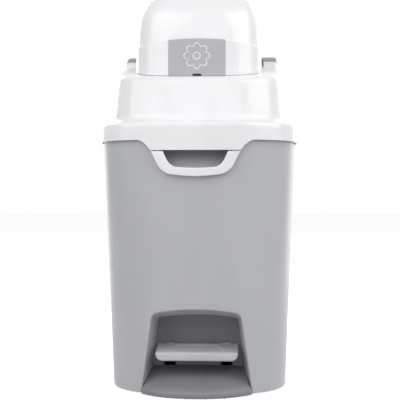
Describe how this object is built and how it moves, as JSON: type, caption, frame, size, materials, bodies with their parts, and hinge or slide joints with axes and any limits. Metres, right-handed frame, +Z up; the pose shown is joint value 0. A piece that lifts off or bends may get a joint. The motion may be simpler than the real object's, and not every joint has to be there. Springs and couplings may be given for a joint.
{
  "type": "pedal nappy bin",
  "caption": "Free-standing pedal bin for nappies: tapered bucket, hinged top with an inlet funnel, odour flap and bag ring, and a domed hood that the pedal lifts.",
  "frame": {"origin": "on the floor, under the middle of the bounding box", "axes": "+Z up, the front with the pedal faces -Y, +X to the right as seen from the front"},
  "size_m": [0.303, 0.2838, 0.6018],
  "materials": {
    "grey_shell": "satin moulded plastic, light cool grey",
    "white_shell": "glossy moulded plastic, white",
    "grey_trim": "satin moulded plastic, light grey",
    "pedal_grey": "satin moulded plastic with a fine grain, light grey",
    "base_grey": "satin moulded plastic, mid grey",
    "inner_white": "satin moulded plastic, off-white",
    "dark_plastic": "matte glass-filled plastic, charcoal",
    "ring_blue": "satin moulded plastic, muted blue",
    "nylon": "natural nylon",
    "steel": "bright drawn steel",
    "rubber": "soft black rubber"
  },
  "bodies": {
    "bin": {"bucket": "grey_shell", "base_plate": "base_grey", "rubber_feet": "rubber", "base_screws": "steel", "shaft_saddles": "dark_plastic", "pedal_shaft": "steel", "pedal_spring": "steel", "duct_cover": "grey_shell", "duct_screws": "steel", "rim_hinge_pins": "steel"},
    "pedal": {"pedal_plate": "pedal_grey", "pedal_lever": "pedal_grey", "shaft_bushes": "nylon"},
    "lower_rod": {"lower_rod": "steel", "rod_foot": "dark_plastic", "rod_cap": "dark_plastic"},
    "top": {"top_housing": "white_shell", "inlet_funnel": "inner_white", "bag_collar": "inner_white", "collar_screws": "steel", "hood_seal": "rubber", "front_bumper": "rubber", "hinge_bridge": "grey_trim", "bridge_screws": "steel", "hood_pin": "steel", "flap_pin": "steel", "flap_spring": "steel", "ring_pin": "steel", "handle_pins": "steel"},
    "upper_rod": {"upper_rod": "steel", "rod_head": "dark_plastic", "rod_clip": "dark_plastic"},
    "hood": {"hood": "white_shell", "badge_plate": "grey_trim", "hood_crank": "dark_plastic", "crank_screws": "steel"},
    "flap": {"odour_flap": "inner_white", "flap_seal": "rubber"},
    "ring": {"bag_ring": "ring_blue"},
    "handle": {"front_handle": "white_shell"}
  },
  "joints": [
    {"name": "pedal_press", "type": "hinge", "parent": "bin", "child": "pedal", "pos_m": [0, 0, 0.048], "axis": [1, 0, 0], "range_deg": [0, 13], "stiffness_Nm_per_rad": 0.6, "springref_deg": -20.05},
    {"name": "lower_rod_lift", "type": "slide", "parent": "bin", "child": "lower_rod", "axis": [0, 0, 1], "range_m": [0, 0.0175]},
    {"name": "top_open", "type": "hinge", "parent": "bin", "child": "top", "pos_m": [0, 0.13848, 0.373], "axis": [-1, 0, 0], "range_deg": [0, 80]},
    {"name": "upper_rod_lift", "type": "slide", "parent": "top", "child": "upper_rod", "axis": [0, 0, 1], "range_m": [0, 0.0175]},
    {"name": "hood_open", "type": "hinge", "parent": "top", "child": "hood", "pos_m": [0, 0.09, 0.51114], "axis": [-1, 0, 0], "range_deg": [0, 75]},
    {"name": "flap_open", "type": "hinge", "parent": "top", "child": "flap", "pos_m": [0, 0.036, 0.386], "axis": [1, 0, 0], "range_deg": [0, 75], "stiffness_Nm_per_rad": 0.02, "springref_deg": -85.94},
    {"name": "bag_ring_drop", "type": "hinge", "parent": "top", "child": "ring", "pos_m": [0, 0.056, 0.381], "axis": [1, 0, 0], "range_deg": [0, 50]},
    {"name": "handle_pull", "type": "hinge", "parent": "top", "child": "handle", "pos_m": [0, -0.13398, 0.3534], "axis": [-1, 0, 0], "range_deg": [0, 25], "stiffness_Nm_per_rad": 0.15, "springref_deg": -17.19}
  ],
  "couplings": [
    {"joint": "lower_rod_lift", "follows": "pedal_press", "m_per_rad": 0.077},
    {"joint": "upper_rod_lift", "follows": "pedal_press", "m_per_rad": 0.077},
    {"joint": "hood_open", "follows": "pedal_press", "ratio": 5.769}
  ]
}
